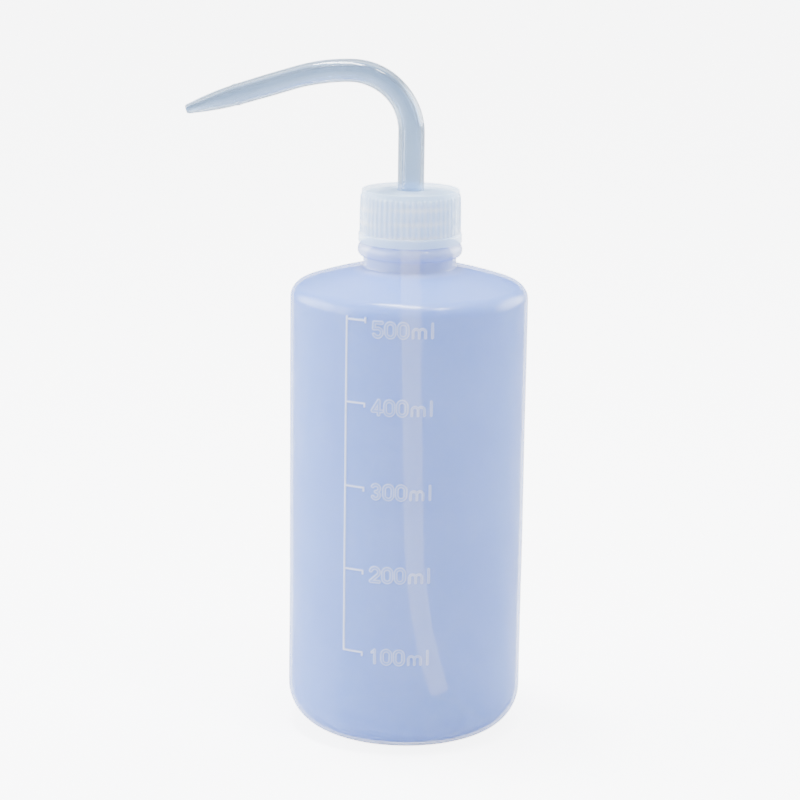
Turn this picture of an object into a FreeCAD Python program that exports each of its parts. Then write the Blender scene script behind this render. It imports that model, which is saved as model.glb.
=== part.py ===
"""A 500 ml squeeze wash bottle: bottle, screw cap, bent spout, dip tube and sealing washer."""
import FreeCAD
import Part
import math
import os

# Frame: origin at the centre of the resting ring, +Z up the bottle, spout towards -X, scale towards -Y.

# Bottle body
BODY_R = 36.2
WALL = 1.0
BASE_CORNER_R = 12.5
PUSH_UP = 3.0
PUSH_UP_R = 20.0
SHOULDER_Z = 134.95
SHOULDER_EDGE_R = 4.9
SHOULDER_SLOPE = 18.5
SHOULDER_RISE = 0.35

# Neck and finish
NECK_R = 14.1
NECK_Z = 144.5
NECK_BORE_R = 13.0
NECK_BORE_Z = 148.5
BEAD_R = 15.9
BEAD_Z = 147.9
BEAD_TOP_Z = 151.9
FINISH_R = 12.6
RIM_Z = 164.8
RIM_EDGE = 0.4
BORE_R = 11.2
BORE_Z = 150.5

# Screw thread: six turns per inch, right hand
PITCH = 25.4 / 6
NECK_CREST_R = 13.65
NECK_THREAD_Z = 155.0
NECK_THREAD_H = 8.4
NECK_THREAD_PHASE = 85.5
CAP_CREST_R = 13.0
CAP_THREAD_Z = 154.2
CAP_THREAD_H = 10.2
CAP_THREAD_PHASE = 196.3
THREAD_CREST_W = 0.8
THREAD_ROOT_W = 2.0
THREAD_SINK = 0.35

# Raised scale
RELIEF = 0.3
SINK = 0.5
LINE_W = 0.8
STROKE = 0.55
MARK_COUNT = 5
MARK_STEP_Z = 25.6
MARK_Z = 32.6
MARK_FROM = -31.0
MARK_TO = -20.8
HOOK = 1.1
GLYPH_H = 4.6
GLYPH_W = 2.4
GLYPH_ANGLES = (-14.7, -8.7, -2.7, 4.7, 10.9)
UNIT_W = 3.6
TEXT_DROP = 3.2
TOP_TEXT_DROP = 5.5

# Cap
CAP_Z = 152.2
CAP_TOP_Z = 168.1
CAP_FLANGE_R = 15.7
CAP_FLANGE_TOP_Z = 154.9
CAP_R = 15.0
CAP_BORE_R = 14.0
CAP_ROOF_Z = 166.88
RIB_COUNT = 54
RIB_R = 15.35
RIB_TOP_Z = 166.5
CAP_EDGE_R = 0.6
CAP_HOLE_R = 4.07

# Spout: vertical run, tight bend, gentle bend, straight run, fine nozzle
SPOUT_R = 4.0
SPOUT_BORE_R = 2.8
SPOUT_RISE_Z = 185.0
BEND_R = 18.5
BEND_SPOUT_R = 3.5
BEND_BORE_R = 2.45
DROOP_R = 58.8
DROOP = 17.0
DROOP_SPOUT_R = 3.35
DROOP_BORE_R = 2.35
RUN_L = 17.6
RUN_SPOUT_R = 3.25
RUN_BORE_R = 2.25
NOZZLE_L = 15.8
NOZZLE_R = (2.85, 2.25, 1.4)
NOZZLE_BORE_R = (1.9, 1.3, 0.7)
COLLAR_R = 3.4
COLLAR_L = 0.8
FLANGE_R = 10.5
FLANGE_Z = 165.84
FLANGE_TOP_Z = 166.84
STUB_R = 4.3
STUB_Z = 157.0
SOCKET_R = 2.95
SOCKET_TOP_Z = 165.2

# Sealing washer
WASHER_R = 12.4
WASHER_BORE_R = 8.0
WASHER_Z = 164.82
WASHER_T = 1.0

# Dip tube: hangs from the spout's stub and curves aside near the base
DIP_R = 3.0
DIP_BORE_R = 2.2
DIP_TOP_Z = 164.6
DIP_HOLD_L = 8.0
DIP_LEAN = 1.5
DIP_LEAN_L = 8.0
DIP_RUN_L = 89.0
DIP_CURVE = 16.5
DIP_CURVE_R = 180.0

BEND_STEP = 4.0
UP = FreeCAD.Vector(0, 0, 1)
AXIS = FreeCAD.Vector(0, 0, 0)


def point(r, z):
    return FreeCAD.Vector(r, 0, z)


def line(a, b):
    return Part.makeLine(a, b)


def arc(a, middle, b):
    return Part.Arc(a, middle, b).toShape()


def arc_about(centre, radius, start, end):
    """Arc in the XZ plane between two angles measured from +X towards +Z."""
    ends = []
    for angle in (start, (start + end) / 2, end):
        turn = math.radians(angle)
        ends.append(centre + point(radius * math.cos(turn), radius * math.sin(turn)))
    return arc(*ends)


def revolve(edges):
    face = Part.Face(Part.Wire(edges))
    return face.revolve(AXIS, UP, 360)


def tube(r, z0, z1):
    return Part.makeCylinder(r, z1 - z0, point(0, z0))


def thread(root_r, crest_r, z, height, phase):
    """Helical ridge from root_r to crest_r, with its root sunk into the wall that carries it."""
    out = 1 if crest_r > root_r else -1
    foot = root_r - out * THREAD_SINK
    corners = [
        point(foot, -THREAD_ROOT_W / 2),
        point(crest_r, -THREAD_CREST_W / 2),
        point(crest_r, THREAD_CREST_W / 2),
        point(foot, THREAD_ROOT_W / 2),
    ]
    profile = Part.makePolygon(corners + corners[:1])
    path = Part.Wire(Part.makeHelix(PITCH, height, root_r).Edges)
    ridge = path.makePipeShell([profile], True, True)
    ridge.rotate(AXIS, UP, phase)
    ridge.translate(FreeCAD.Vector(0, 0, z))
    return ridge


def body_shell(offset, floor, neck_edges):
    """Revolved body bounded by a surface set in by offset; neck_edges close it at the top."""
    r = BODY_R - offset
    corner = point(BODY_R - BASE_CORNER_R, BASE_CORNER_R)
    edge = point(BODY_R - SHOULDER_EDGE_R, SHOULDER_Z)
    foot_r = corner.x
    crown = point(0, floor + PUSH_UP)
    ring = point(PUSH_UP_R, floor)
    half = point(PUSH_UP_R / 2, floor + PUSH_UP * 0.74)
    shoulder = arc_about(edge, SHOULDER_EDGE_R - offset, 0, 90 - SHOULDER_SLOPE)
    top = shoulder.Vertexes[-1].Point
    edges = [
        arc(crown, half, ring),
        line(ring, point(foot_r, floor)),
        arc_about(corner, BASE_CORNER_R - offset, -90, 0),
        line(point(r, BASE_CORNER_R), point(r, SHOULDER_Z)),
        shoulder,
    ]
    neck = neck_edges(top)
    last = neck[-1].Vertexes[-1].Point
    edges += neck
    edges.append(line(last, point(0, last.z)))
    edges.append(line(point(0, last.z), crown))
    return revolve(edges)


def dome(start, end):
    """Shoulder's slightly domed run from the edge to the neck."""
    middle = (start + end) / 2 + point(0, SHOULDER_RISE)
    return arc(start, middle, end)


def outer_neck(top):
    root = point(NECK_R, NECK_Z)
    bead_mid = (BEAD_Z + BEAD_TOP_Z) / 2
    bead_low = point(NECK_R, BEAD_Z)
    bead_high = point(NECK_R, BEAD_TOP_Z)
    finish = point(FINISH_R, BEAD_TOP_Z)
    rim = point(FINISH_R, RIM_Z - RIM_EDGE)
    rim_in = point(FINISH_R - RIM_EDGE, RIM_Z)
    return [
        dome(top, root),
        line(root, bead_low),
        arc(bead_low, point(BEAD_R, bead_mid), bead_high),
        line(bead_high, finish),
        line(finish, rim),
        line(rim, rim_in),
    ]


def inner_neck(top):
    root = point(NECK_BORE_R, NECK_Z - WALL * 1.05)
    neck = point(NECK_BORE_R, NECK_BORE_Z)
    bore = point(BORE_R, BORE_Z)
    return [
        dome(top, root),
        line(root, neck),
        line(neck, bore),
        line(bore, point(BORE_R, RIM_Z + 1)),
    ]


def bar(x0, z0, x1, z1, width=STROKE):
    """Straight raised stroke on the front of the body, between two points."""
    length = math.hypot(x1 - x0, z1 - z0) + width
    block = Part.makeBox(
        length, SINK + RELIEF, width, FreeCAD.Vector(-width / 2, -BODY_R - RELIEF, -width / 2)
    )
    block.rotate(AXIS, FreeCAD.Vector(0, -1, 0), math.degrees(math.atan2(z1 - z0, x1 - x0)))
    block.translate(FreeCAD.Vector(x0, 0, z0))
    return block


def bow(x, z, radius, start, end):
    """Curved raised stroke on the front of the body: part of a ring between two angles."""
    inner = arc_about(point(x, z), radius - STROKE / 2, start, end)
    outer = arc_about(point(x, z), radius + STROKE / 2, start, end)
    sides = [
        line(inner.Vertexes[0].Point, outer.Vertexes[0].Point),
        line(inner.Vertexes[-1].Point, outer.Vertexes[-1].Point),
    ]
    face = Part.Face(Part.Wire(Part.__sortEdges__([inner, outer] + sides)))
    face.translate(FreeCAD.Vector(0, -BODY_R - RELIEF, 0))
    return face.extrude(FreeCAD.Vector(0, SINK + RELIEF, 0))


def glyph_0():
    r = GLYPH_W / 2
    return [
        bow(r, GLYPH_H - r, r, 0, 180),
        bow(r, r, r, 180, 360),
        bar(0, r, 0, GLYPH_H - r),
        bar(GLYPH_W, r, GLYPH_W, GLYPH_H - r),
    ]


def glyph_1():
    return [bar(GLYPH_W / 2, 0, GLYPH_W / 2, GLYPH_H), bar(0.5, GLYPH_H - 0.8, GLYPH_W / 2, GLYPH_H)]


def glyph_2():
    r = GLYPH_W / 2
    return [
        bow(r, GLYPH_H - r, r, -40, 170),
        bar(0, 0, r + r * 0.77, GLYPH_H - r * 1.64),
        bar(0, 0, GLYPH_W, 0),
    ]


def glyph_3():
    r = GLYPH_H / 4
    return [bow(r, 3 * r, r, -90, 150), bow(r, r, r, -150, 90)]


def glyph_4():
    foot = GLYPH_H * 0.3
    return [
        bar(GLYPH_W * 0.75, 0, GLYPH_W * 0.75, GLYPH_H),
        bar(0, foot, GLYPH_W * 0.75, GLYPH_H),
        bar(0, foot, GLYPH_W, foot),
    ]


def glyph_5():
    r = GLYPH_H * 0.3
    return [
        bow(GLYPH_W - r, r, r, -140, 110),
        bar(0.2, GLYPH_H, GLYPH_W, GLYPH_H),
        bar(0.2, GLYPH_H, 0.2, 2 * r),
        bar(0.2, 2 * r, GLYPH_W - r, 2 * r),
    ]


def glyph_m():
    r = UNIT_W / 4
    top = GLYPH_H * 0.62 - r
    first = (GLYPH_W - UNIT_W) / 2
    legs = [bar(first + leg * 2 * r, 0, first + leg * 2 * r, top) for leg in range(3)]
    return legs + [bow(first + r, top, r, 0, 180), bow(first + 3 * r, top, r, 0, 180)]


def glyph_l():
    return [bar(GLYPH_W / 2, 0, GLYPH_W / 2, GLYPH_H)]


def ring_part(r0, r1, z0, z1, start, end):
    """Curved block between two radii, heights and angles; 0 degrees faces -Y."""
    corners = [point(r0, z0), point(r1, z0), point(r1, z1), point(r0, z1)]
    face = Part.Face(Part.makePolygon(corners + corners[:1]))
    block = face.revolve(AXIS, UP, end - start)
    block.rotate(AXIS, UP, start - 90)
    return block


def scale():
    """Graduation: one upright line, a hooked mark every 100 ml, and its figure."""
    hundreds = [glyph_1, glyph_2, glyph_3, glyph_4, glyph_5]
    inner = BODY_R - SINK
    outer = BODY_R + RELIEF
    line_angle = math.degrees(LINE_W / BODY_R)
    top_z = MARK_Z + (MARK_COUNT - 1) * MARK_STEP_Z
    half = LINE_W / 2
    pieces = [
        ring_part(inner, outer, MARK_Z - half, top_z + half, MARK_FROM, MARK_FROM + line_angle)
    ]
    for mark in range(MARK_COUNT):
        z = MARK_Z + mark * MARK_STEP_Z
        pieces.append(ring_part(inner, outer, z - half, z + half, MARK_FROM, MARK_TO))
        pieces.append(
            ring_part(inner, outer, z - HOOK, z - half, MARK_TO - line_angle, MARK_TO)
        )
        text = [hundreds[mark], glyph_0, glyph_0, glyph_m, glyph_l]
        drop = TOP_TEXT_DROP if mark == MARK_COUNT - 1 else TEXT_DROP
        for angle, glyph in zip(GLYPH_ANGLES, text):
            for stroke in glyph():
                stroke.translate(FreeCAD.Vector(-GLYPH_W / 2, 0, z - drop))
                stroke.rotate(AXIS, UP, angle)
                pieces.append(stroke)
    return pieces


def bottle():
    outside = body_shell(0, 0, outer_neck)
    inside = body_shell(WALL, WALL, inner_neck)
    shell = outside.cut(inside)
    ridge = thread(FINISH_R, NECK_CREST_R, NECK_THREAD_Z, NECK_THREAD_H, NECK_THREAD_PHASE)
    return shell.fuse(ridge).multiFuse(scale())


def knurl():
    """Prism with a rib every 360 / RIB_COUNT degrees."""
    step = 360 / RIB_COUNT
    corners = []
    for rib in range(RIB_COUNT):
        for share, r in ((-0.36, CAP_R), (-0.17, RIB_R), (0.17, RIB_R), (0.36, CAP_R)):
            turn = math.radians((rib + share) * step)
            corners.append(FreeCAD.Vector(r * math.cos(turn), r * math.sin(turn), CAP_FLANGE_TOP_Z))
    face = Part.Face(Part.makePolygon(corners + corners[:1]))
    return face.extrude(FreeCAD.Vector(0, 0, RIB_TOP_Z - CAP_FLANGE_TOP_Z))


def cap():
    skirt = tube(CAP_FLANGE_R, CAP_Z, CAP_FLANGE_TOP_Z)
    crown = tube(CAP_R, RIB_TOP_Z, CAP_TOP_Z)
    rim = [e for e in crown.Edges if e.BoundBox.ZMin > CAP_TOP_Z - 0.01]
    crown = crown.makeFillet(CAP_EDGE_R, rim)
    solid = skirt.fuse(knurl()).fuse(crown)
    solid = solid.cut(tube(CAP_BORE_R, CAP_Z - 1, CAP_ROOF_Z))
    solid = solid.cut(tube(CAP_HOLE_R, CAP_ROOF_Z - 1, CAP_TOP_Z + 1))
    ridge = thread(CAP_BORE_R, CAP_CREST_R, CAP_THREAD_Z, CAP_THREAD_H, CAP_THREAD_PHASE)
    return solid.fuse(ridge)


def trace(x, z, heading, radius, legs):
    """Stations x, z, heading and radius along legs of length, total turn and end radius."""
    stations = [(x, z, heading, radius)]
    for length, turn, end_radius in legs:
        steps = max(1, math.ceil(abs(turn) / BEND_STEP))
        start_radius = radius
        for step in range(1, steps + 1):
            mid = math.radians(heading + turn / steps / 2)
            half_turn = math.radians(abs(turn) / steps / 2)
            chord = length / steps
            if half_turn > 0:
                chord *= math.sin(half_turn) / half_turn
            x -= chord * math.sin(mid)
            z += chord * math.cos(mid)
            heading += turn / steps
            radius = start_radius + (end_radius - start_radius) * step / steps
            stations.append((x, z, heading, radius))
    return stations


def loft(stations):
    rings = []
    for x, z, heading, radius in stations:
        ring = Part.Wire(Part.makeCircle(radius))
        ring.rotate(AXIS, FreeCAD.Vector(0, 1, 0), -heading)
        ring.translate(point(x, z))
        rings.append(ring)
    return Part.makeLoft(rings, True, True)


def spout_legs(bend_r, droop_r, run_r, nozzle):
    """Lengths, turns and radii of the spout above its vertical run."""
    legs = [
        (BEND_R * math.pi / 2, 90, bend_r),
        (DROOP_R * math.radians(DROOP), DROOP, droop_r),
        (RUN_L, 0, run_r),
    ]
    for radius in nozzle:
        legs.append((NOZZLE_L / len(nozzle), 0, radius))
    return legs


def spout():
    legs = spout_legs(BEND_SPOUT_R, DROOP_SPOUT_R, RUN_SPOUT_R, NOZZLE_R)
    bores = spout_legs(BEND_BORE_R, DROOP_BORE_R, RUN_BORE_R, NOZZLE_BORE_R)
    rise = [(SPOUT_RISE_Z - FLANGE_Z, 0, SPOUT_R)]
    outer = trace(0, FLANGE_Z, 0, SPOUT_R, rise + legs)
    bore_rise = [(SPOUT_RISE_Z - SOCKET_TOP_Z + 1, 0, SPOUT_BORE_R)]
    inner = trace(0, SOCKET_TOP_Z - 1, 0, SPOUT_BORE_R, bore_rise + bores)
    collar_x, collar_z, heading, radius = outer[-len(NOZZLE_R) - 1]
    collar = loft([(0, -COLLAR_L / 2, 0, COLLAR_R), (0, COLLAR_L / 2, 0, COLLAR_R)])
    collar.rotate(AXIS, FreeCAD.Vector(0, 1, 0), -heading)
    collar.translate(point(collar_x, collar_z))
    flange = tube(FLANGE_R, FLANGE_Z, FLANGE_TOP_Z)
    stub = tube(STUB_R, STUB_Z, FLANGE_Z + 0.5)
    solid = loft(outer).multiFuse([collar, flange, stub])
    solid = solid.cut(loft(inner))
    return solid.cut(tube(SOCKET_R, STUB_Z - 1, SOCKET_TOP_Z - 0.4))


def dip_tube():
    turn = math.radians(DIP_CURVE)
    legs = [
        (DIP_HOLD_L, 0, 1),
        (DIP_LEAN_L, DIP_LEAN, 1),
        (DIP_RUN_L, 0, 1),
        (DIP_CURVE_R * turn, DIP_CURVE, 1),
    ]
    solids = []
    for r, extra in ((DIP_R, 0.0), (DIP_BORE_R, 1.0)):
        ends = [(length, bend, r) for length, bend, _ in legs]
        if extra:
            ends = [(extra, 0, r)] + ends + [(extra, 0, r)]
        solids.append(loft(trace(0, -extra, 0, r, ends)))
    pipe = solids[0].cut(solids[1])
    pipe.rotate(AXIS, FreeCAD.Vector(1, 0, 0), 180)
    pipe.rotate(AXIS, UP, 180)
    pipe.translate(point(0, DIP_TOP_Z))
    return pipe


def washer():
    ring = tube(WASHER_R, WASHER_Z, WASHER_Z + WASHER_T)
    return ring.cut(tube(WASHER_BORE_R, WASHER_Z - 1, WASHER_Z + WASHER_T + 1))


PARTS = {
    "bottle": bottle,
    "cap": cap,
    "spout": spout,
    "dip_tube": dip_tube,
    "washer": washer,
}

os.makedirs("parts", exist_ok=True)
for name, build in PARTS.items():
    shape = build()
    shape.exportStep("parts/" + name + ".step")
    box = shape.BoundBox
    size = [round(v, 2) for v in (box.XMin, box.XMax, box.YMin, box.YMax, box.ZMin, box.ZMax)]
    print(name, len(shape.Solids), shape.isValid(), round(shape.Volume / 1000, 2), size)
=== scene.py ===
import math

import bpy
import numpy as np
from mathutils import Matrix, Vector


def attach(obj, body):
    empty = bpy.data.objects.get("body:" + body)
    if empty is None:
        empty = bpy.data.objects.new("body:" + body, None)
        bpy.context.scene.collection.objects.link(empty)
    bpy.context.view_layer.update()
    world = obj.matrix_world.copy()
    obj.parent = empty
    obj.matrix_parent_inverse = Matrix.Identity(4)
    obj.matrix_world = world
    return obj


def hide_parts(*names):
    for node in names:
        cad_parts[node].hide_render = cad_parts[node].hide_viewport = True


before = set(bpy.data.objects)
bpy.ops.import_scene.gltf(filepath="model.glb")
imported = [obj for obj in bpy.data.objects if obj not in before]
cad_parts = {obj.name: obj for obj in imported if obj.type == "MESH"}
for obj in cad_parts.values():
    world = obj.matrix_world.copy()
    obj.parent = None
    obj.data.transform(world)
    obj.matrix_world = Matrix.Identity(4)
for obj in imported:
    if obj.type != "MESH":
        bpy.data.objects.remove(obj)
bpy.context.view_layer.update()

MM = 0.001
TAU = 2 * math.pi

# Bottle
BODY_R = 36.2
WALL = 1.0
CORNER_R = 12.5
PUSH_UP = 3.0
PUSH_UP_R = 20.0
SHOULDER_Z = 134.95
SHOULDER_EDGE_R = 4.9
SHOULDER_SLOPE = 18.5
SHOULDER_RISE = 0.35
NECK_R = 14.1
NECK_Z = 144.5
NECK_BORE_R = 13.0
NECK_BORE_Z = 148.5
BEAD_Z = 147.9
BEAD_TOP_Z = 151.9
BEAD_R = 15.88
FINISH_R = 12.6
RIM_Z = 164.8
BORE_R = 11.2
BORE_Z = 150.5
PITCH = 25.4 / 6
NECK_CREST_R = 13.65
NECK_THREAD = (155.0, 163.4)
NECK_THREAD_PHASE = 85.5

# Raised scale, angles from the front
RELIEF = 0.3
MARK_Z = 32.6
MARK_STEP = 25.6
MARK_COUNT = 5
MARK_FROM = -30.4
MARK_TO = -20.8
TEXT_H = 5.0
FIGURE_W = 2.55
FIGURE_ANGLES = (-14.7, -8.7, -2.7)
M_ANGLE = 4.7
M_W = 3.7
L_ANGLE = 10.9
TEXT_MID = -0.9
TOP_TEXT_MID = -3.2

# Cap
CAP_Z = 152.2
CAP_TOP_Z = 168.1
CAP_FLANGE_R = 15.7
CAP_FLANGE_TOP = 154.9
CAP_R = 15.0
CAP_BORE_R = 14.0
CAP_ROOF_Z = 166.88
CAP_CREST_R = 13.0
CAP_THREAD = (154.2, 164.4)
CAP_THREAD_PHASE = 196.3
RIB_COUNT = 54
RIB_H = 0.35
RIB_TOP = 166.5
CAP_HOLE_R = 4.07

# Spout and dip tube
BEND_R = 18.5
DROOP_R = 58.8
DROOP = 17.0
RISE_Z = 185.0
RUN_L = 17.6
NOZZLE_L = 15.8
FLANGE_Z = 165.84
FLANGE_TOP = 166.84
FLANGE_R = 10.5
STUB_Z = 157.0
STUB_R = 4.3
SOCKET_R = 2.95
SPOUT_RADII = (4.0, 4.0, 3.5, 3.35, 3.25, 2.85, 2.25, 1.4)
SPOUT_BORES = (2.8, 2.8, 2.45, 2.35, 2.25, 1.9, 1.3, 0.7)
DIP_TOP_Z = 164.6
DIP_R = 2.97
DIP_BORE_R = 2.2
DIP_CURVE_R = 180.0
DIP_CURVE = 16.5
DIP_LEGS = ((8.0, 0), (8.0, 1.5), (89.0, 0), (DIP_CURVE_R * math.radians(DIP_CURVE), DIP_CURVE))


# ---------------------------------------------------------------- meshes

def smooth_step(x):
    x = np.clip(x, 0.0, 1.0)
    return x * x * (3 - 2 * x)


def mesh_object(name, verts, faces, body, nodes, paleness_and_highlight=None):
    """A smooth piece standing for CAD nodes; its per-vertex amount paints highlights on scale
    strokes, threads and cap ribs, and makes the neck paler.
    """
    mesh = bpy.data.meshes.new(name)
    mesh.from_pydata((np.asarray(verts) * MM).tolist(), [], faces)
    values = np.zeros(len(verts))
    if paleness_and_highlight is not None:
        values[:paleness_and_highlight.size] = paleness_and_highlight.ravel()
    mesh.attributes.new("paleness_and_highlight", "FLOAT", "POINT").data.foreach_set("value", values)
    mesh.polygons.foreach_set("use_smooth", [True] * len(mesh.polygons))
    mesh.update()
    obj = bpy.data.objects.new(name, mesh)
    bpy.context.scene.collection.objects.link(obj)
    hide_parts(*nodes)
    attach(obj, body)
    return obj


def grid_faces(rows, columns, closed_rows=True):
    """Quads of a grid whose columns close round the axis and whose rows may close too."""
    faces = []
    for i in range(rows if closed_rows else rows - 1):
        low = i * columns
        high = ((i + 1) % rows) * columns
        for j in range(columns):
            k = (j + 1) % columns
            faces.append((low + j, low + k, high + k, high + j))
    return faces


def arc_points(cx, cz, r, start, end, step=6.0):
    count = max(2, int(abs(end - start) / step) + 1)
    return [
        (cx + r * math.cos(math.radians(a)), cz + r * math.sin(math.radians(a)))
        for a in np.linspace(start, end, count)
    ]


def line_points(a, b, step):
    count = max(2, int(math.dist(a, b) / step) + 1)
    return [
        (a[0] + (b[0] - a[0]) * t, a[1] + (b[1] - a[1]) * t) for t in np.linspace(0, 1, count)
    ]


def joined(*runs):
    """One list of profile points from several runs, without repeated points."""
    points = []
    for run in runs:
        for p in run:
            if not points or math.dist(points[-1], p) > 1e-4:
                points.append(p)
    return points


# ---------------------------------------------------------------- figures on the scale

def bow(cx, cz, r, start, end):
    return arc_points(cx, cz, r, start, end, 15)


def ring(w, h):
    r = w / 2
    return joined(bow(0, h / 2 - r, r, 0, 180), bow(0, r - h / 2, r, 180, 360), [(r, h / 2 - r)])


def figure_strokes(figure):
    """Centre lines of a figure, about its middle, in millimetres."""
    w, h = FIGURE_W, TEXT_H - 0.8
    r, top, low = w / 2, h / 2, -h / 2
    if figure == "0":
        return [ring(w, h)]
    if figure == "1":
        return [[(-0.7, top - 0.9), (0.2, top), (0.2, low)]]
    if figure == "2":
        return [joined(bow(0, top - r, r, 165, -40), [(-r, low), (r, low)])]
    if figure == "3":
        q = h / 4
        return [bow(0, q, q, 150, -90), bow(0, -q, q, 90, -150)]
    if figure == "4":
        return [[(0.6, low), (0.6, top), (-r, -0.25 * h), (r + 0.3, -0.25 * h)]]
    if figure == "5":
        q = 0.3 * h
        return [joined([(r, top), (-r + 0.2, top), (-r + 0.1, low + 1.9 * q)],
                       bow(0, low + q, q, 105, -150))]
    if figure == "m":
        q = M_W / 4
        base, arch = low, low + 0.62 * h - q
        legs = [[(x, base), (x, arch)] for x in (-2 * q, 0, 2 * q)]
        return legs + [bow(-q, arch, q, 0, 180), bow(q, arch, q, 0, 180)]
    return [[(0, low), (0, top)]]


def nearest(u, z, strokes):
    """Distance of each point to the strokes."""
    best = np.full(u.shape, 9.0)
    for stroke in strokes:
        for (x0, z0), (x1, z1) in zip(stroke[:-1], stroke[1:]):
            dx, dz = x1 - x0, z1 - z0
            t = np.clip(((u - x0) * dx + (z - z0) * dz) / (dx * dx + dz * dz), 0, 1)
            best = np.minimum(best, np.hypot(u - x0 - t * dx, z - z0 - t * dz))
    return best


def bead(d, half_width, soft):
    return smooth_step((half_width + soft / 2 - d) / soft)


def scale_relief(phi, z):
    """Height of the scale's relief, and its painted highlight, at phi, in degrees from the front, and
    height z.
    """
    u = np.radians(phi) * BODY_R
    top = MARK_Z + (MARK_COUNT - 1) * MARK_STEP
    from_u, to_u = (math.radians(a) * BODY_R for a in (MARK_FROM, MARK_TO))
    height = bead(nearest(u, z, [[(from_u, MARK_Z), (from_u, top)]]), 0.3, 0.3)
    # The second value is a painted highlight: bright paint along the scale line, the ticks and the
    # edges of the figures.
    highlight_paleness = 0.9 * height
    for mark in range(MARK_COUNT):
        level = MARK_Z + mark * MARK_STEP
        hook = [(from_u, level), (to_u, level), (to_u, level - 1.0)]
        lines = [hook]
        if mark == MARK_COUNT - 1:
            lines = [[(from_u, level + 0.55), (to_u, level + 0.55), (to_u, level - 1.3)],
                     [(from_u + 0.6, level - 0.75), (to_u, level - 0.75)]]
        line = bead(nearest(u, z, lines), 0.26, 0.3)
        height = np.maximum(height, line)
        highlight_paleness = np.maximum(highlight_paleness, 0.8 * line)
        middle = level + (TOP_TEXT_MID if mark == MARK_COUNT - 1 else TEXT_MID)
        places = list(zip(str(mark + 1) + "00", FIGURE_ANGLES)) + [("m", M_ANGLE), ("l", L_ANGLE)]
        for figure, angle in places:
            centre = math.radians(angle) * BODY_R
            near = (np.abs(u - centre) < 3.2) & (np.abs(z - middle) < 4)
            if not near.any():
                continue
            d = nearest(u[near] - centre, z[near] - middle, figure_strokes(figure))
            thin = figure in "ml1"
            # edge is a ridge round each figure, also painted as a bright highlight line.
            edge = np.exp(-(((d - (0.25 if thin else 0.42)) / 0.17) ** 2))
            face = bead(d, 0.3 if thin else 0.5, 0.3)
            height[near] = np.maximum(height[near], 0.55 * face + 0.5 * edge)
            highlight_paleness[near] = np.maximum(highlight_paleness[near], 0.12 * face + 0.5 * edge)
    return RELIEF * np.minimum(height, 1.0), highlight_paleness


# ---------------------------------------------------------------- bottle

def shoulder_point(offset):
    turn = math.radians(90 - SHOULDER_SLOPE)
    r = SHOULDER_EDGE_R - offset
    return (BODY_R - SHOULDER_EDGE_R + r * math.cos(turn), SHOULDER_Z + r * math.sin(turn))


def rows_up(start, end, step, fine):
    """Heights from start to end, at fine spacing inside the bands listed and step elsewhere."""
    heights = [start]
    while heights[-1] < end - 1e-6:
        z = heights[-1]
        inside = any(a <= z < b for a, b in fine)
        ahead = min([a - z for a, _ in fine if a > z + 1e-6] + [step])
        heights.append(min(end, z + (0.19 if inside else max(0.19, ahead))))
    return heights


def bottle_profile():
    """Outer profile from the middle of the base to the rim, then the inner one back down."""
    corner = (BODY_R - CORNER_R, CORNER_R)
    edge = (BODY_R - SHOULDER_EDGE_R, SHOULDER_Z)
    marks = [MARK_Z + i * MARK_STEP for i in range(MARK_COUNT)]
    bands = [(z - 4.6, z + 2.4) for z in marks[:-1]] + [(marks[-1] - 7.0, SHOULDER_Z)]

    def push_up(floor, count):
        rise = [(r, floor + PUSH_UP * (1 - (r / PUSH_UP_R) ** 2) ** 1.3)
                for r in np.linspace(0.05, PUSH_UP_R - 0.2, count)]
        return rise + [(PUSH_UP_R + 0.6, floor)]

    def shoulder(start, end):
        run = np.linspace(0, 1, 22)
        return [(start[0] + (end[0] - start[0]) * t,
                 start[1] + (end[1] - start[1]) * t + 4 * SHOULDER_RISE * t * (1 - t)) for t in run]

    end = shoulder_point(0)
    mid, half = (BEAD_Z + BEAD_TOP_Z) / 2, (BEAD_TOP_Z - BEAD_Z) / 2
    bead_run = [(NECK_R + (BEAD_R - NECK_R) * math.cos(a) ** 0.8, mid + half * math.sin(a))
                for a in np.linspace(-1.555, 1.555, 17)]
    outer = joined(
        push_up(0.0, 14),
        arc_points(*corner, CORNER_R, -90, 0, 4.5),
        [(BODY_R, z) for z in rows_up(CORNER_R, SHOULDER_Z, 1.6, bands)],
        arc_points(*edge, SHOULDER_EDGE_R, 0, 90 - SHOULDER_SLOPE, 4),
        shoulder(end, (NECK_R + 0.5, NECK_Z)),
        [(NECK_R + 0.2, NECK_Z + 0.08), (NECK_R + 0.05, NECK_Z + 0.25)],
        line_points((NECK_R, NECK_Z + 0.5), (NECK_R, BEAD_Z - 0.1), 0.6),
        bead_run,
        line_points((NECK_R - 0.2, BEAD_TOP_Z), (FINISH_R, BEAD_TOP_Z), 0.5),
        line_points((FINISH_R, BEAD_TOP_Z + 0.05), (FINISH_R, RIM_Z - 0.4), 0.26),
        arc_points(FINISH_R - 0.4, RIM_Z - 0.4, 0.4, 0, 90, 30),
    )
    inner_end = shoulder_point(WALL)
    inner_root = (NECK_BORE_R, NECK_Z - WALL * 1.05)
    inner = joined(
        arc_points(BORE_R + 0.3, RIM_Z - 0.3, 0.3, 90, 180, 30),
        line_points((BORE_R, RIM_Z - 0.3), (BORE_R, BORE_Z), 2.0),
        line_points((NECK_BORE_R, NECK_BORE_Z), inner_root, 1.0),
        shoulder(inner_end, inner_root)[::-1],
        arc_points(*edge, SHOULDER_EDGE_R - WALL, 90 - SHOULDER_SLOPE, 0, 8),
        line_points((BODY_R - WALL, SHOULDER_Z), (BODY_R - WALL, CORNER_R), 3.0),
        arc_points(*corner, CORNER_R - WALL, 0, -90, 8),
        push_up(WALL, 10)[::-1],
    )
    return outer, inner


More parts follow.
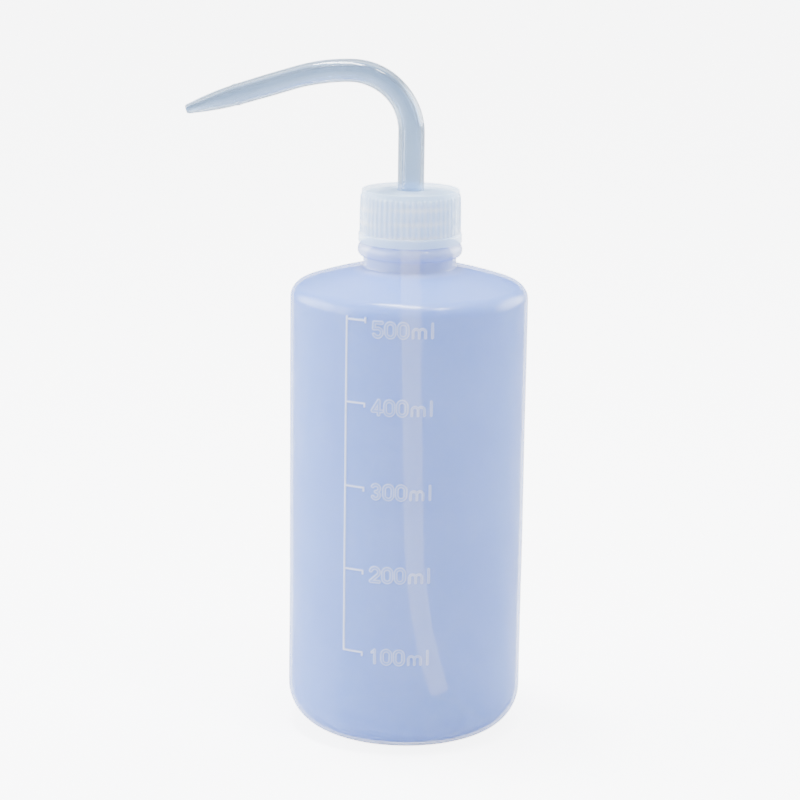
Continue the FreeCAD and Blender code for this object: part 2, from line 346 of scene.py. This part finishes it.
def helix_height(phi, z, start, end, phase, root_w, crest_w):
    """0 to 1 over a helical ridge's section, fading out at its two ends."""
    turn = (np.radians(phi - 90 - phase) / TAU) % 1.0
    height = np.zeros(np.broadcast(phi, z).shape)
    for lap in range(-1, 4):
        centre = start + (turn + lap) * PITCH
        inside = (centre >= start) & (centre <= end)
        fade = np.clip(np.minimum(centre - start, end - centre) / 0.25, 0, 1)
        across = (root_w / 2 - np.abs(z - centre)) / ((root_w - crest_w) / 2)
        height = np.maximum(height, np.where(inside, np.clip(across, 0, 1) * fade, 0))
    return height


def wall_sway(t, z):
    """Slight unevenness of a blow-moulded wall at angle t and height z."""
    sway = 0.045 * np.sin(2 * t + 0.031 * z + 0.6) + 0.03 * np.sin(3 * t - 0.05 * z)
    sway += 0.02 * np.sin(5 * t + 0.083 * z + 1.9) + 0.02 * np.sin(0.11 * z + 1.0)
    return sway - 0.11


def mould_seam(wide):
    """0 to 1 near the two parting lines, at the left and the right."""
    away = np.minimum(np.abs((wide + 90) % 360 - 180), np.abs((wide - 90) % 360 - 180))
    return np.exp(-((np.radians(away) * BODY_R / 0.5) ** 2))


def bottle_mesh():
    outer, inner = bottle_profile()
    panel = np.arange(MARK_FROM - 1.6, L_ANGLE + 1.8, 0.36)
    rest = np.linspace(panel[-1], panel[0] + 360, 112)[1:-1]
    phi = np.concatenate([panel, rest])
    profile = np.array(outer + inner)
    is_outer = np.arange(len(profile)) < len(outer)
    r = profile[:, 0][:, None] + 0 * phi[None, :]
    z = profile[:, 1][:, None] + 0 * phi[None, :]
    wide = 0 * r + phi[None, :]
    wall_rows = is_outer[:, None] & (z > CORNER_R) & (z <= SHOULDER_Z + 0.01) & (r > BODY_R - 0.01)
    near = wide < 180
    relief, highlight_paleness = scale_relief(np.where(near, wide, 90.0), z)
    r = r + np.where(wall_rows, relief, 0)
    finish = is_outer[:, None] & (np.abs(r - FINISH_R) < 0.01) & (z > BEAD_TOP_Z)
    ridge = helix_height(wide, z, *NECK_THREAD, NECK_THREAD_PHASE, 2.0, 0.8)
    r = r + np.where(finish, ridge * (NECK_CREST_R - FINISH_R), 0)
    body = smooth_step((r - 20) / 8) * smooth_step(z / 8) * smooth_step((152 - z) / 8)
    t = np.radians(wide)
    r = r + body * wall_sway(t, z)
    r = r + np.where(is_outer[:, None], body * 0.05 * mould_seam(wide), 0)
    verts = np.stack([r * np.sin(t), -r * np.cos(t), z], axis=-1).reshape(-1, 3)
    rows, columns = r.shape
    faces = grid_faces(rows, columns, closed_rows=False)
    verts = np.vstack([verts, [[0, 0, profile[0, 1]], [0, 0, profile[-1, 1]]]])
    first, last = len(verts) - 2, len(verts) - 1
    base = (rows - 1) * columns
    for j in range(columns):
        k = (j + 1) % columns
        faces.append((first, k, j))
        faces.append((last, base + j, base + k))
    # Painted highlight on the scale and as bright lines along the neck thread ridges; the neck above
    # the shoulder is also made paler.
    neck = 0.3 * smooth_step((z - 143.5) / 1.5)
    paleness_and_highlight = np.where(wall_rows, highlight_paleness, 0) + np.where(is_outer[:, None], neck, 0)
    paleness_and_highlight = paleness_and_highlight + 0.5 * np.where(finish, ridge, 0)
    return mesh_object("bottle_body", verts, faces, "bottle", ["bottle"], paleness_and_highlight)


# ---------------------------------------------------------------- cap

def cap_mesh():
    columns = RIB_COUNT * 10
    phi = np.arange(columns) * 360 / columns
    outer = joined(
        arc_points(CAP_FLANGE_R - 0.25, CAP_Z + 0.25, 0.25, -90, 0, 30),
        line_points((CAP_FLANGE_R, CAP_Z + 0.3), (CAP_FLANGE_R, CAP_FLANGE_TOP - 0.4), 0.7),
        arc_points(CAP_FLANGE_R - 0.35, CAP_FLANGE_TOP - 0.35, 0.35, 0, 90, 22),
        [(CAP_R, CAP_FLANGE_TOP + 0.02), (CAP_R, CAP_FLANGE_TOP + 0.25)],
        line_points((CAP_R, CAP_FLANGE_TOP + 0.3), (CAP_R, RIB_TOP - 0.7), 1.0),
        line_points((CAP_R, RIB_TOP - 0.6), (CAP_R - 0.03, RIB_TOP + 0.3), 0.15),
        arc_points(CAP_R - 0.65, CAP_TOP_Z - 0.6, 0.6, 0, 90, 15),
        line_points((CAP_R - 1.0, CAP_TOP_Z), (CAP_HOLE_R + 2.2, CAP_TOP_Z), 1.2),
        [(CAP_HOLE_R + 1.9, CAP_TOP_Z - 0.02), (CAP_HOLE_R + 1.6, CAP_TOP_Z - 0.16)],
        [(CAP_HOLE_R + 0.3, CAP_TOP_Z - 0.18), (CAP_HOLE_R + 0.1, CAP_TOP_Z - 0.22)],
        [(CAP_HOLE_R, CAP_TOP_Z - 0.35), (CAP_HOLE_R, CAP_ROOF_Z)],
    )
    inner = joined(
        line_points((CAP_HOLE_R + 0.05, CAP_ROOF_Z), (CAP_BORE_R - 0.3, CAP_ROOF_Z), 2.0),
        [(CAP_BORE_R, CAP_ROOF_Z - 0.3)],
        line_points((CAP_BORE_R, CAP_ROOF_Z - 0.4), (CAP_BORE_R, CAP_Z + 0.5), 0.25),
        [(CAP_BORE_R + 0.15, CAP_Z + 0.2), (CAP_BORE_R + 0.4, CAP_Z)],
    )
    profile = np.array(outer + inner)
    is_outer = (np.arange(len(profile)) < len(outer))[:, None]
    r = profile[:, 0][:, None] + 0 * phi[None, :]
    z = profile[:, 1][:, None] + 0 * phi[None, :]
    wide = 0 * r + phi[None, :]
    across = np.abs(((wide * RIB_COUNT / 360) % 1.0) - 0.5) * 2
    rib = smooth_step((0.74 - across) / 0.42)
    along = smooth_step((z - CAP_FLANGE_TOP - 0.05) / 0.2) * smooth_step((RIB_TOP + 0.35 - z) / 0.7)
    side = is_outer & (r > CAP_R - 0.2) & (z > CAP_FLANGE_TOP - 0.01)
    r = r + np.where(side, rib * along * RIB_H, 0)
    r = r - np.where(side, 0.2 * smooth_step((z - 160) / 8), 0)
    bore = ~is_outer & (np.abs(r - CAP_BORE_R) < 0.01)
    ridge = helix_height(wide, z, *CAP_THREAD, CAP_THREAD_PHASE, 2.0, 0.8)
    r = r - np.where(bore, ridge * (CAP_BORE_R - CAP_CREST_R), 0)
    t = np.radians(wide)
    verts = np.stack([r * np.sin(t), -r * np.cos(t), z], axis=-1).reshape(-1, 3)
    faces = grid_faces(len(profile), columns)
    # Painted highlight: lighter rib faces, bright lines along the thread crests and on the inner
    # thread.
    crest = helix_height(wide, z, *CAP_THREAD, CAP_THREAD_PHASE, 1.0, 0.4)
    paleness_and_highlight = np.where(side, 0.35 * rib * along + 0.9 * crest, 0) + np.where(bore, ridge, 0)
    return mesh_object("cap_shell", verts, faces, "cap", ["cap"], paleness_and_highlight)


# ---------------------------------------------------------------- tubes

def centre_line(x, z, heading, legs, step):
    """Stations (x, z, heading, length so far) along legs; the heading turns from +Z to -X."""
    stations = [(x, z, heading, 0.0)]
    done = 0.0
    for length, turn in legs:
        count = max(1, int(round(length / step)))
        for _ in range(count):
            part, bend = length / count, turn / count
            half = math.radians(abs(bend)) / 2
            chord = part * (math.sin(half) / half if half else 1.0)
            middle = math.radians(heading + bend / 2)
            x -= chord * math.sin(middle)
            z += chord * math.cos(middle)
            heading += bend
            done += part
            stations.append((x, z, heading, done))
    return stations


def tube_rings(stations, radii, columns, squeeze=0.0):
    """Rings of points square to the line; squeeze flattens them a little where the tube bends."""
    turn = np.arange(columns) * TAU / columns
    rings = []
    for (x, z, heading, _), r in zip(stations, radii):
        a = math.radians(heading)
        across = np.array([math.cos(a), 0.0, math.sin(a)])
        side = np.array([0.0, 1.0, 0.0])
        flat = 1 - squeeze * math.exp(-(((heading - 45) / 30) ** 2))
        rings.append(np.array([x, 0, z]) + r * (flat * np.cos(turn)[:, None] * across
                                                + np.sin(turn)[:, None] * side))
    return rings


def spout_mesh():
    legs = [(BEND_R * math.pi / 2, 90), (DROOP_R * math.radians(DROOP), DROOP),
            (RUN_L, 0), (NOZZLE_L, 0)]
    rise = RISE_Z - FLANGE_TOP
    marks = np.cumsum([rise] + [length for length, _ in legs])
    nozzle = [marks[3] + NOZZLE_L * k / 3 for k in (1, 2, 3)]
    line = centre_line(0, FLANGE_TOP, 0, [(rise, 0)] + legs, 0.55)
    s = np.array([station[3] for station in line])
    keys = [0, *marks[:4], *nozzle]
    outer_r = np.interp(s, keys, SPOUT_RADII)
    inner_r = np.interp(s, keys, SPOUT_BORES)
    collar = np.exp(-(((s - marks[3]) / 0.42) ** 2))
    outer_r = outer_r + 0.13 * collar - 0.06 * np.exp(-(((s - marks[3] - 1.3) / 0.6) ** 2))
    outer_r = outer_r + 0.03 * np.sin(s * 0.37) * smooth_step((s - 20) / 10)
    tip = marks[4] - s
    outer_r = outer_r - 0.22 * (1 - smooth_step(tip / 0.5))
    columns = 56
    outside = tube_rings(line, outer_r, columns, 0.03)
    inside = tube_rings(line, inner_r, columns, 0.03)[::-1]
    low = []
    for r, z in [(SOCKET_R, STUB_Z), (STUB_R - 0.2, STUB_Z), (STUB_R, STUB_Z + 0.2),
                 (STUB_R, STUB_Z + 3.0), (STUB_R, FLANGE_Z - 0.05), (STUB_R + 0.2, FLANGE_Z),
                 (FLANGE_R - 0.2, FLANGE_Z), (FLANGE_R, FLANGE_Z + 0.2), (FLANGE_R, FLANGE_TOP - 0.2),
                 (FLANGE_R - 0.2, FLANGE_TOP), (STUB_R - 0.1, FLANGE_TOP)]:
        low.append(tube_rings([(0, z, 0, 0)], [r], columns)[0])
    holder = []
    for r, z in [(SPOUT_BORES[0], 165.0), (SOCKET_R, 164.8), (SOCKET_R, STUB_Z + 3.0)]:
        holder.append(tube_rings([(0, z, 0, 0)], [r], columns)[0])
    rings = low + outside[1:] + inside + holder
    verts = np.concatenate(rings)
    faces = grid_faces(len(rings), columns)
    return mesh_object("spout_tube", verts, faces, "spout", ["spout"])


def dip_mesh():
    line = centre_line(0, 0, 0, DIP_LEGS, 1.2)
    columns = 40
    s = np.array([station[3] for station in line])
    ripple = 0.02 * np.sin(s * 0.21)
    outside = tube_rings(line, DIP_R + ripple, columns)
    inside = tube_rings(line, DIP_BORE_R + 0 * s, columns)[::-1]
    verts = np.concatenate(outside + inside)
    verts = np.stack([-verts[:, 0], verts[:, 1], DIP_TOP_Z - verts[:, 2]], axis=-1)
    return mesh_object("dip_tube_pipe", verts, grid_faces(len(outside) * 2, columns), "spout",
                       ["dip_tube"])


# ---------------------------------------------------------------- materials

def socket(node, name, value):
    node.inputs[name].default_value = value


def noise(nodes, links, vector, scale, detail):
    node = nodes.new("ShaderNodeTexNoise")
    socket(node, "Scale", scale)
    socket(node, "Detail", detail)
    links.new(vector, node.inputs["Vector"])
    return node.outputs["Fac"]


def plastic(name, low, high, rough, alpha, subsurface, spots, bump, highlight_gain=0.0, **extra):
    """Translucent moulded plastic: cloudy colour, uneven gloss, fine surface texture, and a painted
    highlight that whitens the base colour by a per-vertex amount.
    """
    material = bpy.data.materials.new(name)
    material.use_nodes = True
    nodes, links = material.node_tree.nodes, material.node_tree.links
    shader = nodes["Principled BSDF"]
    where = nodes.new("ShaderNodeTexCoord").outputs["Object"]
    cloud = noise(nodes, links, where, spots, 3.0)
    tint = nodes.new("ShaderNodeValToRGB")
    tint.color_ramp.elements[0].position = 0.3
    tint.color_ramp.elements[1].position = 0.7
    tint.color_ramp.elements[0].color = (*low, 1)
    tint.color_ramp.elements[1].color = (*high, 1)
    links.new(cloud, tint.inputs["Fac"])
    # Painted highlight: the per-vertex amount times the gain mixes the base colour towards a pale
    # blue.
    highlight_attribute = nodes.new("ShaderNodeAttribute")
    highlight_attribute.attribute_name = "paleness_and_highlight"
    lift = nodes.new("ShaderNodeMath")
    lift.operation = "MULTIPLY"
    lift.use_clamp = True
    links.new(highlight_attribute.outputs["Fac"], lift.inputs[0])
    lift.inputs[1].default_value = highlight_gain
    highlight_paleness = nodes.new("ShaderNodeMix")
    highlight_paleness.data_type = "RGBA"
    links.new(lift.outputs["Value"], highlight_paleness.inputs["Factor"])
    links.new(tint.outputs["Color"], highlight_paleness.inputs["A"])
    highlight_paleness.inputs["B"].default_value = (0.92, 0.95, 1.0, 1)
    links.new(highlight_paleness.outputs["Result"], shader.inputs["Base Color"])
    wear = noise(nodes, links, where, spots * 6, 4.0)
    gloss = nodes.new("ShaderNodeMapRange")
    socket(gloss, "To Min", rough - 0.05)
    socket(gloss, "To Max", rough + 0.07)
    links.new(wear, gloss.inputs["Value"])
    links.new(gloss.outputs["Result"], shader.inputs["Roughness"])
    grain = noise(nodes, links, where, 900.0, 2.0)
    relief = nodes.new("ShaderNodeBump")
    socket(relief, "Strength", bump)
    socket(relief, "Distance", 0.00008)
    links.new(grain, relief.inputs["Height"])
    links.new(relief.outputs["Normal"], shader.inputs["Normal"])
    socket(shader, "IOR", 1.5)
    socket(shader, "Alpha", alpha)
    socket(shader, "Subsurface Weight", subsurface)
    socket(shader, "Subsurface Radius", (1.0, 1.0, 1.0))
    socket(shader, "Subsurface Scale", 0.003)
    for key, value in extra.items():
        socket(shader, key.replace("_", " "), value)
    return material


def paint(obj, material):
    obj.data.materials.clear()
    obj.data.materials.append(material)


body = bottle_mesh()
cap = cap_mesh()
spout = spout_mesh()
dip = dip_mesh()

paint(body, plastic(
    "bottle_plastic", (0.15, 0.29, 0.78), (0.18, 0.33, 0.83), rough=0.20, alpha=0.64, subsurface=0.45,
    spots=30, bump=0.3, highlight_gain=1.0,
))
# Cap: the emission is a painted glow that brightens it.
paint(cap, plastic(
    "cap_plastic", (0.50, 0.69, 1.0), (0.58, 0.75, 1.0), rough=0.16, alpha=0.50, subsurface=0.6,
    spots=60, bump=0.2, highlight_gain=1.0, Emission_Color=(0.46, 0.68, 1.0, 1), Emission_Strength=0.42,
))
paint(spout, plastic(
    "spout_plastic", (0.52, 0.67, 0.86), (0.60, 0.74, 0.91), rough=0.05, alpha=0.90, subsurface=0.0,
    spots=60, bump=0.06, Transmission_Weight=0.90,
))
# Dip tube: the emission is a painted glow, a warm light band seen through the bottle.
paint(dip, plastic(
    "dip_plastic", (0.90, 0.84, 0.78), (0.96, 0.90, 0.84), rough=0.25, alpha=1.0, subsurface=0.0,
    spots=60, bump=0.1, Emission_Color=(1.0, 0.90, 0.80, 1), Emission_Strength=2.4,
))
paint(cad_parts["washer"], plastic(
    "washer_foam", (0.80, 0.80, 0.78), (0.88, 0.88, 0.86), rough=0.55, alpha=1.0, subsurface=0.3,
    spots=400, bump=0.6,
))


# ---------------------------------------------------------------- studio

FLOOR_HALF = 24.0
FLOOR_GLOW = 6.0
SKY_SEEN = 6.2
# Soft light panels: direction, cosine where each begins, cosine where it is full, strength
PANELS = (
    ((-1, 0.2, 0.15), 0.78, 0.95, 17.0),
    ((1, 0.60, 0.15), 0.86, 0.97, 15.0),
    ((0, 0.55, 1), 0.6, 0.95, 2.0),
    ((0, 0, 1), -1.2, 0.6, 0.22),
)


def floor_paper():
    """Pale paper that shows bright but throws little of that light on the bottle."""
    material = bpy.data.materials.new("floor_paper")
    material.use_nodes = True
    nodes, links = material.node_tree.nodes, material.node_tree.links
    shader = nodes["Principled BSDF"]
    socket(shader, "Base Color", (0.62, 0.63, 0.65, 1))
    socket(shader, "Roughness", 0.9)
    socket(shader, "Specular IOR Level", 0.1)
    socket(shader, "Emission Color", (1, 1, 1, 1))
    path = nodes.new("ShaderNodeLightPath")
    glow = nodes.new("ShaderNodeMath")
    glow.operation = "MULTIPLY"
    glow.inputs[1].default_value = FLOOR_GLOW
    links.new(path.outputs["Is Camera Ray"], glow.inputs[0])
    links.new(glow.outputs["Value"], shader.inputs["Emission Strength"])
    return material


def floor():
    mesh = bpy.data.meshes.new("floor")
    h = FLOOR_HALF
    mesh.from_pydata([(-h, -h, 0), (h, -h, 0), (h, h, 0), (-h, h, 0)], [], [(0, 1, 2, 3)])
    mesh.materials.append(floor_paper())
    obj = bpy.data.objects.new("floor", mesh)
    bpy.context.scene.collection.objects.link(obj)


def lamp(name, position, target, size, power):
    data = bpy.data.lights.new(name, "AREA")
    data.shape = "RECTANGLE"
    data.size, data.size_y = size
    data.energy = power
    obj = bpy.data.objects.new(name, data)
    bpy.context.scene.collection.objects.link(obj)
    aim = Vector(target) - Vector(position)
    obj.location = position
    obj.rotation_euler = aim.to_track_quat("-Z", "Y").to_euler()


def sky():
    """Large soft panels at both sides and overhead; dark room behind the object and the camera."""
    world = bpy.data.worlds.new("studio")
    bpy.context.scene.world = world
    world.use_nodes = True
    nodes, links = world.node_tree.nodes, world.node_tree.links
    shade = nodes["Background"]
    socket(shade, "Color", (0.96, 0.98, 1.0, 1))
    where = nodes.new("ShaderNodeTexCoord")

    def lobe(direction, start, full, strength):
        dot = nodes.new("ShaderNodeVectorMath")
        dot.operation = "DOT_PRODUCT"
        links.new(where.outputs["Generated"], dot.inputs[0])
        dot.inputs[1].default_value = Vector(direction).normalized()
        ramp = nodes.new("ShaderNodeMapRange")
        ramp.interpolation_type = "SMOOTHSTEP"
        socket(ramp, "From Min", start)
        socket(ramp, "From Max", full)
        socket(ramp, "To Max", strength)
        links.new(dot.outputs["Value"], ramp.inputs["Value"])
        return ramp.outputs["Result"]

    total = None
    for panel in PANELS:
        light = lobe(*panel)
        if total is not None:
            add = nodes.new("ShaderNodeMath")
            links.new(total, add.inputs[0])
            links.new(light, add.inputs[1])
            light = add.outputs["Value"]
        total = light
    path = nodes.new("ShaderNodeLightPath")
    seen = nodes.new("ShaderNodeMix")
    links.new(path.outputs["Is Camera Ray"], seen.inputs["Factor"])
    links.new(total, seen.inputs["A"])
    seen.inputs["B"].default_value = SKY_SEEN
    links.new(seen.outputs["Result"], shade.inputs["Strength"])


def camera():
    distance, rise, roll = 0.81735, math.radians(13.143), math.radians(0.776)
    target = Vector((-0.0024, 0, 0.10268))
    forward = Vector((0, math.cos(rise), -math.sin(rise)))
    flat_right = Vector((1, 0, 0))
    flat_up = flat_right.cross(forward)
    right = flat_right * math.cos(roll) + flat_up * math.sin(roll)
    up = flat_up * math.cos(roll) - flat_right * math.sin(roll)
    data = bpy.data.cameras.new("camera")
    data.sensor_width = 36.0
    data.lens = 119.79
    data.clip_start = 0.05
    data.clip_end = 50.0
    obj = bpy.data.objects.new("camera", data)
    turn = Matrix((right, up, -forward)).transposed().to_4x4()
    obj.matrix_world = Matrix.Translation(target - forward * distance) @ turn
    bpy.context.scene.collection.objects.link(obj)
    bpy.context.scene.camera = obj


floor()
sky()
lamp("over", (-0.06, -0.04, 1.1), (0, 0, 0.14), (0.60, 0.12), 30.0)
lamp("over_right", (0.34, -0.30, 0.9), (0, 0, 0.14), (0.12, 0.12), 5.0)
lamp("left", (-0.75, -0.35, 0.35), (0, 0, 0.1), (0.12, 0.7), 4.0)
camera()
